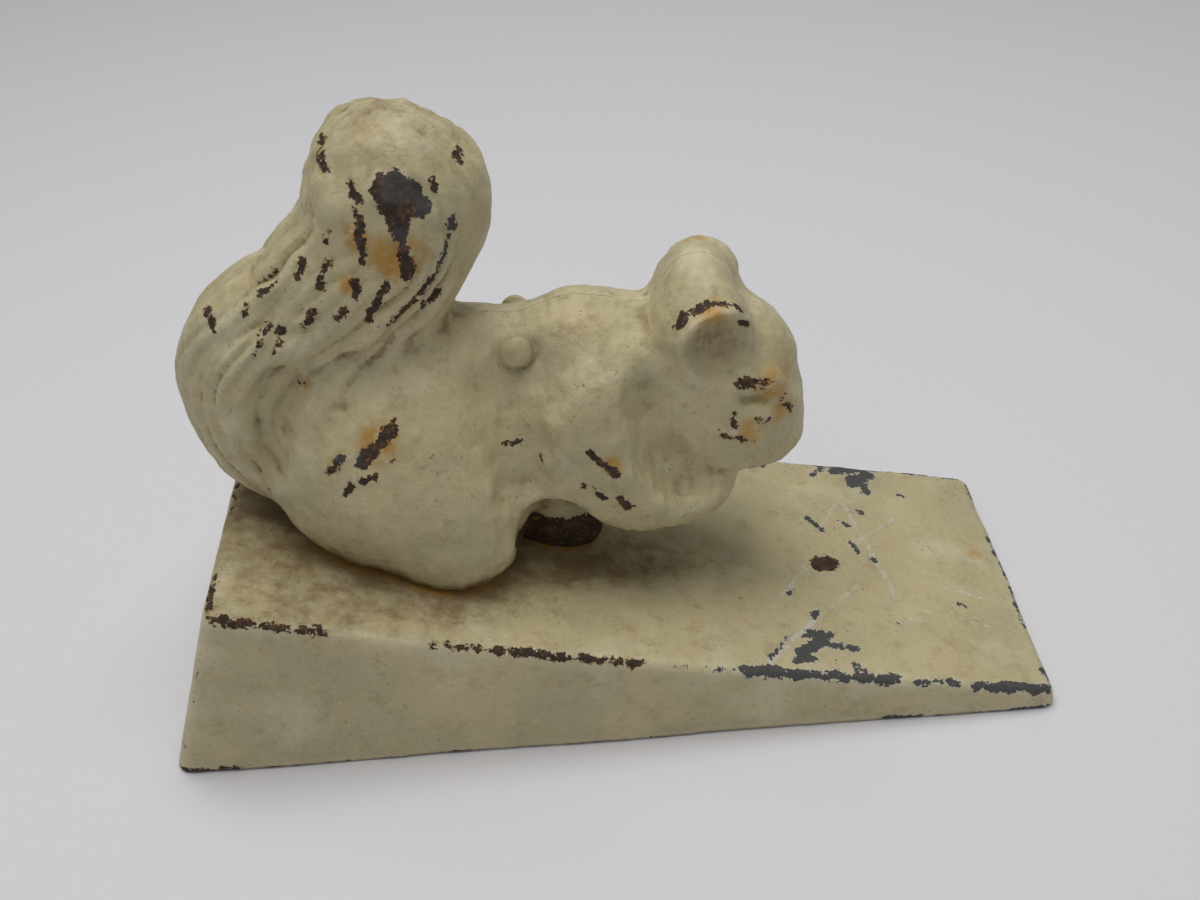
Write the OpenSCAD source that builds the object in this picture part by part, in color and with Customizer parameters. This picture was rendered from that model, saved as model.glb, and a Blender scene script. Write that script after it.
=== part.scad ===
// Door stop: a crouching squirrel, riveted up from two hollow half castings,
// screwed down on a hollow cast wedge. Millimetres. The origin is on the floor
// under the middle of the wedge, +X points to the thin edge, +Z is up.

/* [Wedge] */
// Length from the rear edge to the thin edge
wedge_length = 200; // [160:1:260]
// Width at the rear
wedge_rear_width = 83; // [70:1:110]
// Width at the thin edge
wedge_tip_width = 78; // [70:1:110]
// Height at the rear
wedge_rear_height = 47; // [42:0.5:60]
// Height where the two flats of the top meet
wedge_mid_height = 25; // [20:0.5:32]
// Distance from the rear edge to the line where the two flats meet
wedge_mid_place = 100; // [90:1:120]
// Thickness of the thin edge
wedge_tip_height = 6; // [5:0.5:10]
// How far the rear face leans forward over its height
wedge_rear_lean = 15.5; // [0:0.5:20]
// How far the thin edge leans back over its height
wedge_tip_lean = 1.3; // [0:0.1:3]
// Thickness of the side and rear walls
wedge_wall = 4; // [3:0.5:6]
// Thickness of the top plate, square to its surface
wedge_plate = 4.5; // [3.5:0.5:7]
// Least height of the hollow, at its thin end
wedge_hollow_end = 3; // [2:0.5:6]
// Corner radius at the rear, seen from above
wedge_rear_radius = 3; // [1:0.5:10]
// Corner radius at the thin edge, seen from above
wedge_tip_radius = 7; // [1:0.5:12]

/* [Squirrel] */
// Size of the squirrel against its normal size
squirrel_scale = 1; // [0.8:0.01:1.2]
// Distance from the rear edge of the wedge to the squirrel's screws
squirrel_setback = 62; // [56:1:72]
// Wall of the hollow castings
squirrel_wall = 5.5; // [5:0.5:8]

/* [Rivet] */
// Shank diameter
rivet_diameter = 4; // [3:0.5:5]
// Head diameter
rivet_head_diameter = 7.6; // [6:0.1:9]
// Head height
rivet_head_height = 2.8; // [2:0.1:4]
// How much wider than the rivet its hole and the seats of its heads are
rivet_clearance = 0.2; // [0.1:0.1:0.6]
// Place of the rivet ahead of the screws
rivet_forward = 21; // [16:0.5:26]
// Place of the rivet above the seat on the wedge
rivet_up = 50.5; // [46:0.5:51]
// Distance from the middle plane to the seat of each head
rivet_seat = 8; // [6:0.5:10]

/* [Base screws] */
// Thread diameter
screw_diameter = 5; // [4:0.5:6]
// Head diameter
screw_head_diameter = 9; // [8:0.5:12]
// Head height
screw_head_height = 3.2; // [2.5:0.1:5]
// Width of the driver slot
screw_slot_width = 1.3; // [1:0.1:2]
// Length of thread in the squirrel
screw_grip = 12; // [8:0.5:16]
// Distance of each screw from the middle plane
screw_offset = 13; // [11:0.5:16]
// How much wider than the screw the tapped hole is
screw_clearance = 0.1; // [0:0.1:0.4]
// Cored hole in the top plate of the wedge
cored_hole_diameter = 8; // [7:0.5:10]
// Washer diameter
washer_diameter = 14; // [12:0.5:18]
// Washer thickness
washer_thickness = 1.2; // [0.8:0.1:2]
// How much wider than the screw the washer's hole is
washer_clearance = 0.5; // [0.2:0.1:1]

/* [Bosses and locating pegs] */
// Diameter of the boss round each screw
screw_boss_diameter = 13; // [11:0.5:16]
// Diameter of the bosses round the rivet and the pegs
cross_boss_diameter = 10; // [9:0.5:14]
// Fillet between the bosses and the walls inside
boss_fillet = 6; // [4:0.5:10]
// Peg diameter
peg_diameter = 4; // [3:0.5:5]
// Peg length
peg_length = 3; // [2:0.5:5]
// How much wider and deeper than its peg a socket is
peg_clearance = 0.3; // [0.1:0.1:0.6]

/* [Hidden] */
paint = [0.80, 0.78, 0.66];
bare_iron = [0.35, 0.33, 0.31];
steel = [0.55, 0.55, 0.55];
corner_steps = 8;
surface_step = 3;
far = 400;
$fn = 48;

// ---- Wedge ----

rear_x = -wedge_length / 2;
tip_x = wedge_length / 2;
top_rear_x = rear_x + wedge_rear_lean;
top_tip_x = tip_x - wedge_tip_lean;
mid_x = rear_x + wedge_mid_place;
rear_rise = (wedge_mid_height - wedge_rear_height) / (mid_x - top_rear_x);
front_rise = (wedge_tip_height - wedge_mid_height) / (top_tip_x - mid_x);
rear_slope = -atan(rear_rise);
front_slope = -atan(front_rise);

// Height of the rear flat and of the front flat, carried on past their ends
function rear_flat(x) = wedge_mid_height + rear_rise * (x - mid_x);
function front_flat(x) = wedge_mid_height + front_rise * (x - mid_x);

// Side outline of the whole wedge
function side_outline() = [
    [rear_x, 0],
    [tip_x, 0],
    [top_tip_x, wedge_tip_height],
    [mid_x, wedge_mid_height],
    [top_rear_x, wedge_rear_height]
];

// Side outline of the hollow, open below
function hollow_outline() =
    let (
        rear_drop = wedge_plate / cos(rear_slope),
        front_drop = wedge_plate / cos(front_slope),
        lean = wedge_rear_lean / wedge_rear_height,
        foot_x = rear_x + wedge_wall * sqrt(1 + lean * lean),
        rear_z = (rear_flat(foot_x) - rear_drop) / (1 - rear_rise * lean),
        bend_x = mid_x + (rear_drop - front_drop) / (rear_rise - front_rise),
        end_x = mid_x + (wedge_hollow_end + front_drop - wedge_mid_height) / front_rise
    )
    [
        [foot_x - lean, -1],
        [end_x, -1],
        [end_x, wedge_hollow_end],
        [bend_x, rear_flat(bend_x) - rear_drop],
        [foot_x + lean * rear_z, rear_z]
    ];

// A quarter circle of points, turning left from the start angle
function corner(x, y, r, start) = [
    for (i = [0 : corner_steps])
        [x + r * cos(start + 90 * i / corner_steps), y + r * sin(start + 90 * i / corner_steps)]
];

// The wedge seen from above
function plan_outline() =
    let (
        rear_y = wedge_rear_width / 2 - wedge_rear_radius,
        tip_y = wedge_tip_width / 2 - wedge_tip_radius
    )
    concat(
        corner(rear_x + wedge_rear_radius, -rear_y, wedge_rear_radius, 180),
        corner(tip_x - wedge_tip_radius, -tip_y, wedge_tip_radius, 270),
        corner(tip_x - wedge_tip_radius, tip_y, wedge_tip_radius, 0),
        corner(rear_x + wedge_rear_radius, rear_y, wedge_rear_radius, 90)
    );

// The hollow seen from above
function hollow_plan() =
    let (rear_y = wedge_rear_width / 2 - wedge_wall, tip_y = wedge_tip_width / 2 - wedge_wall)
    [[rear_x, -rear_y], [tip_x, -tip_y], [tip_x, tip_y], [rear_x, rear_y]];

// A side outline carried right across the wedge
module across(outline) {
    rotate([90, 0, 0])
        linear_extrude(height = far, center = true)
            polygon(outline);
}

// A plan outline carried up and down
module upright(outline) {
    translate([0, 0, -far / 2])
        linear_extrude(height = far)
            polygon(outline);
}

module wedge_base() {
    color(paint)
        difference() {
            intersection() {
                across(side_outline());
                upright(plan_outline());
            }
            intersection() {
                across(hollow_outline());
                upright(hollow_plan());
            }
            for (side = [-1, 1])
                at_screw(side)
                    translate([0, 0, -2 * wedge_plate])
                        cylinder(h = 4 * wedge_plate, d = cored_hole_diameter);
        }
}

// ---- The squirrel's own frame: its origin is on the rear flat, between the screws ----

seat_x = rear_x + squirrel_setback;
seat_z = rear_flat(seat_x);

module in_squirrel() {
    translate([seat_x, 0, seat_z])
        children();
}

// A screw's axis, +Z square to the rear flat, with the origin on the flat
module at_screw(side) {
    in_squirrel()
        translate([0, side * screw_offset, 0])
            rotate([0, rear_slope, 0])
                children();
}

// The cross axis of the rivet or a peg, +Z pointing to one side
module at_cross(place, side) {
    in_squirrel()
        translate([place.x, 0, place.y])
            rotate([-90 * side, 0, 0])
                children();
}

rivet_place = [rivet_forward, rivet_up] * squirrel_scale;
peg_places = [[-2, 76] * squirrel_scale, [64, 37] * squirrel_scale];

// ---- Sculpted form ----

// Each form is an ellipsoid, with its twin on the other side: centre, half sizes,
// tilt that lifts the front, how softly it blends with those before it, and
// whether the foundry's core goes into it.
FORMS = [
    [[10, 0, 32], [30, 16, 24], 0, 0, true],      // loin
    [[34, 0, 36], [18, 17, 23], 0, 8, true],      // shoulders
    [[20, 0, 25], [30, 18, 15], 0, 8, true],      // belly
    [[-12, 0, 25], [24, 18, 23], 0, 8, true],     // rump
    [[-4, 12, 18], [27, 14, 22], 0, 4, true],     // haunch
    [[2, 14, 8], [18, 12, 13], 0, 5, false],      // foot
    [[44, 0, 27], [17, 14, 20], 0, 8, true],      // chest
    [[48, 0, 40], [15, 15, 15], 0, 8, true],      // neck
    [[65, 0, 37], [18, 15, 19], 0, 6, true],      // head
    [[73, 0, 27], [10.5, 11, 13], 0, 6, false],   // snout
    [[62, 6, 27], [12, 10, 11], 0, 5, false],     // cheek
    [[59, 5, 55], [11, 10, 11], -15, 4, false],   // ear
    [[35, 12, 22], [12, 8, 14], 0, 5, false],     // upper arm
    [[48, 12, 13], [19, 9, 10], 0, 5, false],     // forearm
    [[61, 9, 13], [9, 7, 8], 0, 4, false],        // hand
    [[25, 0, 0], [14, 6, 10], -40, 4, false],     // lug under the belly
    [[-30, 0, 31], [19, 14, 19], 0, 8, true],     // root of the tail
    [[-31, 0, 44], [20, 15, 19], 0, 8, true],     // tail, lower bend
    [[-20, 0, 57], [19, 16, 18], 0, 8, true],     // tail, middle
    [[-8, 0, 69], [19, 16, 18], 0, 8, true],      // tail, upper part
    [[0, 0, 82], [18.5, 15, 18], 0, 8, true],     // tail, top
    [[-6, 0, 87], [13, 12, 14], 0, 6, false]      // tail, crest
];
// The hollow of the ear, cut out of the form
EAR_HOLLOW = [[63, 20, 51], [9, 9, 11], -15];

// Distance to an ellipsoid, near enough close to its surface
function ellipsoid(p, centre, half, tilt) =
    let (
        dx = p.x - centre.x,
        dz = p.z - centre.z,
        q = [dx * cos(tilt) + dz * sin(tilt), p.y - centre.y, dz * cos(tilt) - dx * sin(tilt)],
        a = [q.x / half.x, q.y / half.y, q.z / half.z],
        b = [a.x / half.x, a.y / half.y, a.z / half.z],
        n = norm(a)
    )
    n * (n - 1) / max(norm(b), 0.0001);

// The lesser of two distances, with a soft valley where they cross
function blended(a, b, soft) =
    soft == 0 ? min(a, b) : min(a, b) - pow(max(soft - abs(a - b), 0), 2) / (4 * soft);

// Distances to the outer form and to the cored forms, over FORMS from i on
function form_pair(p, i = 0, outer = far, cored = far) =
    i == len(FORMS) ? [outer, cored] :
    let (f = FORMS[i], d = ellipsoid(p, f[0], f[1], f[2]), soft = i == 0 ? 0 : f[3])
    form_pair(p, i + 1, blended(outer, d, soft), f[4] ? blended(cored, d, soft) : cored);

// Negative inside the metal of the left half, in the squirrel's frame
function metal(p) =
    let (
        pair = form_pair(p / squirrel_scale) * squirrel_scale,
        ear = ellipsoid(p / squirrel_scale, EAR_HOLLOW[0], EAR_HOLLOW[1], EAR_HOLLOW[2]) * squirrel_scale,
        above = p.z * cos(rear_slope) + p.x * sin(rear_slope),
        along = p.x * cos(rear_slope) - p.z * sin(rear_slope),
        screw_boss = max(norm([along, p.y - screw_offset]) - screw_boss_diameter / 2,
                         above - screw_grip - squirrel_wall),
        cross_boss = min([
            for (c = concat([rivet_place], peg_places))
                norm([p.x - c.x, p.z - c.y]) - cross_boss_diameter / 2
        ]),
        shell = blended(-pair[1] - squirrel_wall, above - squirrel_wall, boss_fillet),
        with_bosses = blended(blended(shell, screw_boss, boss_fillet), cross_boss, boss_fillet)
    )
    max(pair[0], -ear, with_bosses);

// ---- Surface of the sculpted form ----

// The box of steps that the left half fills; the first layer lies outside its flat face
grid_from = [-54, 0, -12] * squirrel_scale;
grid_to = [87, 32, 104] * squirrel_scale;
cells = [
    for (a = [0 : 2])
        ceil((grid_to[a] - grid_from[a]) / surface_step) + (a == 1 ? 1 : 0)
];

function grid_point(i, j, k) = [
    grid_from.x + i * surface_step,
    grid_from.y + (j - 1) * surface_step,
    grid_from.z + k * surface_step
];

function grid_values() = [
    for (i = [0 : cells.x]) [
        for (j = [0 : cells.y]) [
            for (k = [0 : cells.z])
                j == 0 ? far : metal(grid_point(i, j, k))
        ]
    ]
];

// The cube of one cell: its corners, and the corners that bound each edge and each side
CORNERS = [for (i = [0, 1], j = [0, 1], k = [0, 1]) [i, j, k]];
EDGES = [for (a = [0 : 7], b = [a + 1 : 7]) if (norm(CORNERS[a] - CORNERS[b]) == 1) [a, b]];
SIDES = [for (a = [0 : 2], s = [0, 1]) [for (c = [0 : 7]) if (CORNERS[c][a] == s) c]];

function corner_values(v, i, j, k) = [for (c = CORNERS) v[i + c.x][j + c.y][k + c.z]];

function is_crossed(v, i, j, k) =
    let (corners = corner_values(v, i, j, k))
    min(corners) < 0 && max(corners) >= 0;

// Whether the corners marked 1 hang together along the cell's edges
function is_joined(marks) =
    1 ==
    marks * [1, 1, 1, 1, 1, 1, 1, 1]
    - len([for (e = EDGES) if (marks[e[0]] + marks[e[1]] == 2) 1])
    + len([for (s = SIDES) if (marks[s[0]] + marks[s[1]] + marks[s[2]] + marks[s[3]] == 4) 1]);

// Corners to turn into metal, so that no cell holds two separate stretches of surface
function pinched_corners(v) = [
    for (i = [0 : cells.x - 1], j = [0 : cells.y - 1], k = [0 : cells.z - 1])
        if (is_crossed(v, i, j, k))
            let (
                corners = corner_values(v, i, j, k),
                marks = [for (c = corners) c < 0 ? 1 : 0],
                gaps = [for (m = marks) 1 - m]
            )
            if (!is_joined(marks) || !is_joined(gaps))
                let (least = min([for (c = corners) if (c >= 0) c]))
                [i, j, k] + CORNERS[search(least, corners)[0]]
];

function with_metal(v, spots) = [
    for (i = [0 : cells.x])
        let (in_slab = [for (s = spots) if (s.x == i) s])
        len(in_slab) == 0 ? v[i] : [
            for (j = [0 : cells.y])
                let (in_row = [for (s = in_slab) if (s.y == j) s.z])
                len(in_row) == 0 ? v[i][j] : [
                    for (k = [0 : cells.z])
                        len(search(k, in_row)) > 0 ? -surface_step / 10 : v[i][j][k]
                ]
        ]
];

function without_pinches(v) =
    let (spots = pinched_corners(v))
    len(spots) == 0 ? v : without_pinches(with_metal(v, spots));

function mean(points) =
    let (ones = [for (p = points) 1])
    [for (a = [0 : 2]) [for (p = points) p[a]] * ones] / len(points);

// Where the surface passes through one cell: the mean of its crossings of the cell's
// edges. In the first layer the point stays on the flat face.
function cell_point(v, i, j, k) =
    let (
        crossings = [
            for (e = EDGES)
                let (
                    a = CORNERS[e[0]] + [i, j, k],
                    b = CORNERS[e[1]] + [i, j, k],
                    va = v[a.x][a.y][a.z],
                    vb = v[b.x][b.y][b.z]
                )
                if ((va < 0) != (vb < 0) && (j > 0 || a.y == 1 && b.y == 1))
                    a + (b - a) * va / (va - vb)
        ],
        g = len(crossings) == 0 ? [i + 0.5, 1, k + 0.5] : mean(crossings)
    )
    grid_point(g.x, g.y, g.z);

// Two triangles for four points in a ring, cut along the shorter diagonal
function ring_faces(points, ring) =
    norm(points[ring[0]] - points[ring[2]]) < norm(points[ring[1]] - points[ring[3]]) ?
        [[ring[0], ring[1], ring[2]], [ring[0], ring[2], ring[3]]] :
        [[ring[1], ring[2], ring[3]], [ring[1], ring[3], ring[0]]];

function turned(ring, back) = back ? ring : [ring[3], ring[2], ring[1], ring[0]];

// The left half as one closed surface, before the seat and the holes are cut
module left_form() {
    v = without_pinches(grid_values());
    crossed = [
        for (i = [0 : cells.x - 1], j = [0 : cells.y - 1], k = [0 : cells.z - 1])
            is_crossed(v, i, j, k) ? 1 : 0
    ];
    numbers = [for (n = 0, c = 0; n < len(crossed); c = c + crossed[n], n = n + 1) c];
    points = [
        for (i = [0 : cells.x - 1], j = [0 : cells.y - 1], k = [0 : cells.z - 1])
            if (crossed[(i * cells.y + j) * cells.z + k] == 1)
                cell_point(v, i, j, k)
    ];
    function at(i, j, k) = numbers[(i * cells.y + j) * cells.z + k];
    faces = [
        for (i = [0 : cells.x - 1], j = [0 : cells.y - 1], k = [0 : cells.z - 1])
            let (
                inside = v[i][j][k] < 0,
                rings = [
                    if (j > 0 && k > 0 && inside != (v[i + 1][j][k] < 0))
                        turned([at(i, j - 1, k - 1), at(i, j - 1, k), at(i, j, k), at(i, j, k - 1)], inside),
                    if (i > 0 && k > 0 && inside != (v[i][j + 1][k] < 0))
                        turned([at(i - 1, j, k - 1), at(i, j, k - 1), at(i, j, k), at(i - 1, j, k)], inside),
                    if (i > 0 && j > 0 && inside != (v[i][j][k + 1] < 0))
                        turned([at(i - 1, j - 1, k), at(i - 1, j, k), at(i, j, k), at(i, j - 1, k)], inside)
                ]
            )
            for (ring = rings)
                each ring_faces(points, ring)
    ];
    polyhedron(points = points, faces = faces);
}

// ---- Half castings ----

// Everything below the top of the wedge, without end
module under_top() {
    across([
        [-far, -far],
        [far, -far],
        [far, front_flat(far)],
        [mid_x, wedge_mid_height],
        [-far, rear_flat(-far)]
    ]);
}

// A half casting, cut to sit on the wedge, with its rivet hole and tapped hole
module half_casting(side) {
    difference() {
        in_squirrel()
            mirror([0, side < 0 ? 1 : 0, 0])
                left_form();
        under_top();
        at_cross(rivet_place, side) {
            translate([0, 0, -1])
                cylinder(h = far / 4, d = rivet_diameter + rivet_clearance);
            translate([0, 0, rivet_seat * squirrel_scale])
                cylinder(h = far / 4, d = rivet_head_diameter + rivet_clearance);
        }
        at_screw(side)
            translate([0, 0, -1])
                cylinder(h = screw_grip + 2, d = screw_diameter + screw_clearance);
    }
}

module squirrel_right_half() {
    color(paint)
        union() {
            half_casting(-1);
            for (place = peg_places)
                at_cross(place, 1)
                    translate([0, 0, -1])
                        cylinder(h = peg_length + 1, d = peg_diameter);
        }
}

module squirrel_left_half() {
    color(paint)
        difference() {
            half_casting(1);
            for (place = peg_places)
                at_cross(place, 1)
                    translate([0, 0, -1])
                        cylinder(h = peg_length + peg_clearance + 1, d = peg_diameter + peg_clearance);
        }
}

// ---- Rivet, screws and washers ----

// A round head on the plane z = 0, domed upwards
module round_head(diameter, height) {
    radius = (pow(diameter / 2, 2) + pow(height, 2)) / (2 * height);
    intersection() {
        translate([0, 0, height - radius])
            sphere(r = radius);
        cylinder(h = height, d = diameter);
    }
}

module flank_rivet() {
    reach = rivet_seat * squirrel_scale;
    color(paint)
        union() {
            at_cross(rivet_place, 1)
                translate([0, 0, -reach])
                    cylinder(h = 2 * reach, d = rivet_diameter);
            for (side = [-1, 1])
                at_cross(rivet_place, side)
                    translate([0, 0, reach])
                        round_head(rivet_head_diameter, rivet_head_height);
        }
}

// A slotted round-head screw, up through its washer and the plate
module base_screw(side) {
    under_head = wedge_plate + washer_thickness;
    color(steel)
        at_screw(side)
            difference() {
                union() {
                    translate([0, 0, -under_head])
                        cylinder(h = under_head + screw_grip, d = screw_diameter);
                    translate([0, 0, -under_head])
                        mirror([0, 0, 1])
                            round_head(screw_head_diameter, screw_head_height);
                }
                translate([-screw_head_diameter, -screw_slot_width / 2, -under_head - 2 * screw_head_height])
                    cube([2 * screw_head_diameter, screw_slot_width, 1.5 * screw_head_height]);
            }
}

module base_washer(side) {
    color(steel)
        at_screw(side)
            translate([0, 0, -wedge_plate - washer_thickness])
                difference() {
                    cylinder(h = washer_thickness, d = washer_diameter);
                    translate([0, 0, -1])
                        cylinder(h = washer_thickness + 2, d = screw_diameter + washer_clearance);
                }
}

wedge_base();
squirrel_right_half();
squirrel_left_half();
flank_rivet();
base_screw(-1);  // base_screw_right
base_screw(1);  // base_screw_left
base_washer(-1);  // base_washer_right
base_washer(1);  // base_washer_left
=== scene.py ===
"""A painted cast-iron doorstop: a crouching squirrel in two half castings, riveted
together and screwed down on a hollow wedge. The castings are modelled as distance
fields, in millimetres, and turned into meshes in metres."""

import math

import bpy
import numpy as np
from mathutils import Matrix, Vector


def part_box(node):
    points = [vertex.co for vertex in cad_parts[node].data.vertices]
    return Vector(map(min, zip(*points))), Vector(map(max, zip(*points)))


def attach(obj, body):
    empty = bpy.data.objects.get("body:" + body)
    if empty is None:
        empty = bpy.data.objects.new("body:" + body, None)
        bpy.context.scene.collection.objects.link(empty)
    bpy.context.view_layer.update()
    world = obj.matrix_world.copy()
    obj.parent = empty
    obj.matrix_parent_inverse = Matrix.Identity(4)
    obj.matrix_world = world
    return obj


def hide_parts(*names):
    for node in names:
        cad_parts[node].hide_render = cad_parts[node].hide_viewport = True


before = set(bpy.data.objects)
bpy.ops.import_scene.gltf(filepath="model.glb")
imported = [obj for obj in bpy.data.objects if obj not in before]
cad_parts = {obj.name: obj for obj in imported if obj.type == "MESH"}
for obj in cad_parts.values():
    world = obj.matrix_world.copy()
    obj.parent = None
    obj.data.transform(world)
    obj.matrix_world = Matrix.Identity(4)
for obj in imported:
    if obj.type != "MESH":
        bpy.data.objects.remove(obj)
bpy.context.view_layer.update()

MM = 0.001


def mm_box(node):
    """A CAD node's lowest and highest corners, in millimetres"""
    low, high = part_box(node)
    return np.array(low) / MM, np.array(high) / MM


# ---- Places and sizes, in millimetres ----

WEDGE_LOW, WEDGE_HIGH = mm_box("wedge_base")
REAR_X, TIP_X = WEDGE_LOW[0], WEDGE_HIGH[0]
REAR_HALF_WIDTH = WEDGE_HIGH[1]
TIP_HALF_WIDTH = REAR_HALF_WIDTH - 2.5
REAR_HEIGHT = WEDGE_HIGH[2]
MID_X, MID_HEIGHT = 0.0, 25.0
TIP_HEIGHT = 6.0
REAR_LEAN, TIP_LEAN = 15.5, 1.3
WALL, PLATE = 4.0, 4.5
HOLLOW_SHORT_OF_TIP = 20.0
CORED_HOLE_RADIUS = 4.0

# The rivet's axis, and the squirrel's seat below and behind it
RIVET_LOW, RIVET_HIGH = mm_box("flank_rivet")
RIVET_X, _, RIVET_Z = (RIVET_LOW + RIVET_HIGH) / 2
RIVET_FORWARD, RIVET_UP = 21.0, 50.5
RIVET_SEAT, RIVET_SEAT_RADIUS = 8.0, 4.5
# How much smaller the worn head is than the CAD one, and how finely it is turned
RIVET_WEAR = 0.3
RIVET_SIDES, DOME_RINGS = 40, 10
SEAT = np.array([RIVET_X - RIVET_FORWARD, 0, RIVET_Z - RIVET_UP])

# The base screws: how far out they are, their tapped holes, and how deep those go
SCREW_OFFSET, SCREW_HOLE_RADIUS, SCREW_GRIP = 13.0, 2.55, 12.0
# The wall of the castings, and the least that stays under a hollow in their skin
SHELL, THINNEST = 5.5, 3.0
BOSS_RADIUS, CROSS_BOSS_RADIUS, BOSS_FILLET = 6.5, 5.0, 6.0
# The locating pegs, as (forward, up) from the seat, and the room in their sockets
PEG_PLACES = ((-2, 76), (64, 37))
PEG_RADIUS, PEG_LENGTH, PEG_CLEARANCE = 2.0, 3.0, 0.3

REAR_RISE = (MID_HEIGHT - REAR_HEIGHT) / (MID_X - REAR_X - REAR_LEAN)
FRONT_RISE = (TIP_HEIGHT - MID_HEIGHT) / (TIP_X - TIP_LEAN - MID_X)
REAR_SLOPE = math.atan(-REAR_RISE)

# Spacing of the grids that the castings are sampled on
CASTING_STEP = 0.64
WEDGE_STEP = 0.9


# ---- Random fields, always the same ones ----

def lattice_noise(points, seed):
    """A smooth field between about -1 and 1, with features one unit across"""
    table = np.random.default_rng(seed).uniform(-1, 1, (32, 32, 32)).astype(np.float32)
    base = np.floor(points).astype(np.int32)
    part = points - base
    part = part * part * (3 - 2 * part)
    total = 0
    for i in (0, 1):
        for j in (0, 1):
            for k in (0, 1):
                share = np.prod(np.where((i, j, k), part, 1 - part), axis=-1)
                cell = (base + (i, j, k)) % 32
                total = total + share * table[cell[..., 0], cell[..., 1], cell[..., 2]]
    return total


def soft_noise(points, size, seed, octaves=2):
    """Noise in octaves, the first with features of the given size"""
    total = 0
    for octave in range(octaves):
        scale = 2 ** octave
        total = total + lattice_noise(points * (scale / size), seed + octave) / scale
    return total


def smooth_step(x, low, high):
    """From 0 to 1 with soft ends, as x goes from low to high"""
    t = np.clip((x - low) / (high - low), 0, 1)
    return t * t * (3 - 2 * t)


# ---- Form of the squirrel, in millimetres from its seat on the wedge's rear flat ----

# Each form is an ellipsoid with its twin on the other side: centre, half sizes,
# tilt that lifts the front, and how softly it blends with those before it.
BODY_FORMS = {
    "loin": ((10, 0, 32), (30, 16, 24), 0, 0),
    "shoulders": ((34, 0, 36), (18, 16.5, 23), 0, 8),
    "belly": ((20, 0, 29), (30, 14.5, 15), 0, 8),
    "rump": ((-12, 0, 26), (24, 18, 23), 0, 8),
    "flank": ((-4, 7, 32), (20, 12, 18), 0, 10),
    "haunch": ((-6, 12.5, 20), (26, 14, 21.5), -12, 8),
    "knee": ((6, 12, 12), (14, 13.5, 17), -8, 8),
    "foot": ((4, 14, 7), (13, 11.5, 11.5), -10, 6),
    "chest": ((44, 0, 27), (17, 14, 20), 0, 8),
    "neck": ((48, 0, 40), (15, 15, 15), 0, 8),
    "head": ((64, 0, 37), (17.5, 15, 19), 0, 6),
    "snout": ((73.5, 0, 27.5), (9.2, 11, 11), 0, 5),
    "muzzle": ((74.8, 0, 21.5), (7.8, 9, 8), 0, 4),
    "cheek": ((65, 7, 27.5), (12, 9.5, 9.5), 0, 7),
    "hood": ((58.5, 0, 54.5), (8.6, 12, 12.5), -12, 4),
    "ear": ((60, 8.5, 53), (9.2, 8, 10.5), -12, 5),
    "upper arm": ((33, 11, 27), (12, 8.5, 18), -12, 7),
    "elbow": ((42, 12, 17.5), (13, 8.5, 9.5), 0, 7),
    "forearm": ((51, 12, 14), (12, 7.5, 8), 6, 6),
    "hand": ((58.5, 9.5, 15), (7.5, 7, 8), 0, 5),
    "lug": ((25, 0, 1), (14, 6, 10), -40, 4),
    "lug boss": ((26.5, 4, 2.5), (5, 4, 4.5), -40, 1),
}
TAIL_FORMS = {
    "root": ((-30, 0, 31), (19, 14, 19), 0, 0),
    "lower bend": ((-31, 0, 45), (20, 15.5, 21), 0, 8),
    "middle": ((-20, 0, 57), (19.5, 16, 18), 0, 8),
    "upper": ((-7, 0, 69), (18, 15.5, 17), 0, 8),
    "top": ((1, 0, 82), (17.5, 15, 18), 0, 6),
    "crest": ((-4.5, 0, 87.5), (12, 12, 14.5), 0, 6),
}
# Hollows pressed into the form: centre, half sizes, tilt, softness of the edge
HOLLOWS = {
    "under the brow": ((70.5, 17, 38.5), (5.5, 4.0, 2.4), -18, 1.5),
    "round the rivet": ((21, 17.6, 50.5), (12, 8.8, 12), 0, 5),
    "arch before the knee": ((27, 17, 6), (9.5, 10, 11.5), 0, 3),
    "side of the lug": ((26.5, 9.4, 2.5), (2.6, 2.4, 2.4), -40, 0.5),
}
# Rounded ridges raised on the form: both ends, radius and softness
RIDGES = {
    "brow": ((66.5, 12.2, 43), (73.5, 11.2, 41.3), 1.7, 3.5),
    "front of the brow": ((73.5, 11.2, 41.5), (78.5, 8.6, 34), 1.8, 3),
    "eyeball": ((70.6, 12.6, 34.6), (71.4, 12.5, 34.4), 3.1, 1.2),
    "lower lid": ((63, 14.6, 32.6), (70, 14.2, 30.2), 1.5, 2.5),
    "edge of the arm": ((36, 12, 42), (42, 14.5, 26), 4.5, 7),
}
# Rounded furrows pressed into it: both ends, radius and softness
FURROWS = {
    "neck behind the cheek": ((46.5, 17.4, 42), (47.5, 18.8, 29), 5.5, 5),
    "under the cheek": ((47.5, 18.8, 29), (56, 18.0, 20), 4.5, 4),
    "front of the haunch": ((17, 15, 45), (20, 19.2, 35), 5, 4),
    "above the knee": ((20, 19.2, 35), (20.5, 20.4, 24), 5, 4),
    "top of the haunch": ((-14, 17.6, 55), (-26, 18.2, 49), 4, 3),
    "back of the haunch": ((-26, 18.2, 49), (-34, 17.2, 30), 4, 3),
}
# The ear is a dish with a raised rim: centre, way out, rim radius, rim thickness, depth
EAR = ((61.7, 13.7, 53), (0.26, 0.94, -0.20), 7.2, 1.8, 2.1)


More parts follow.
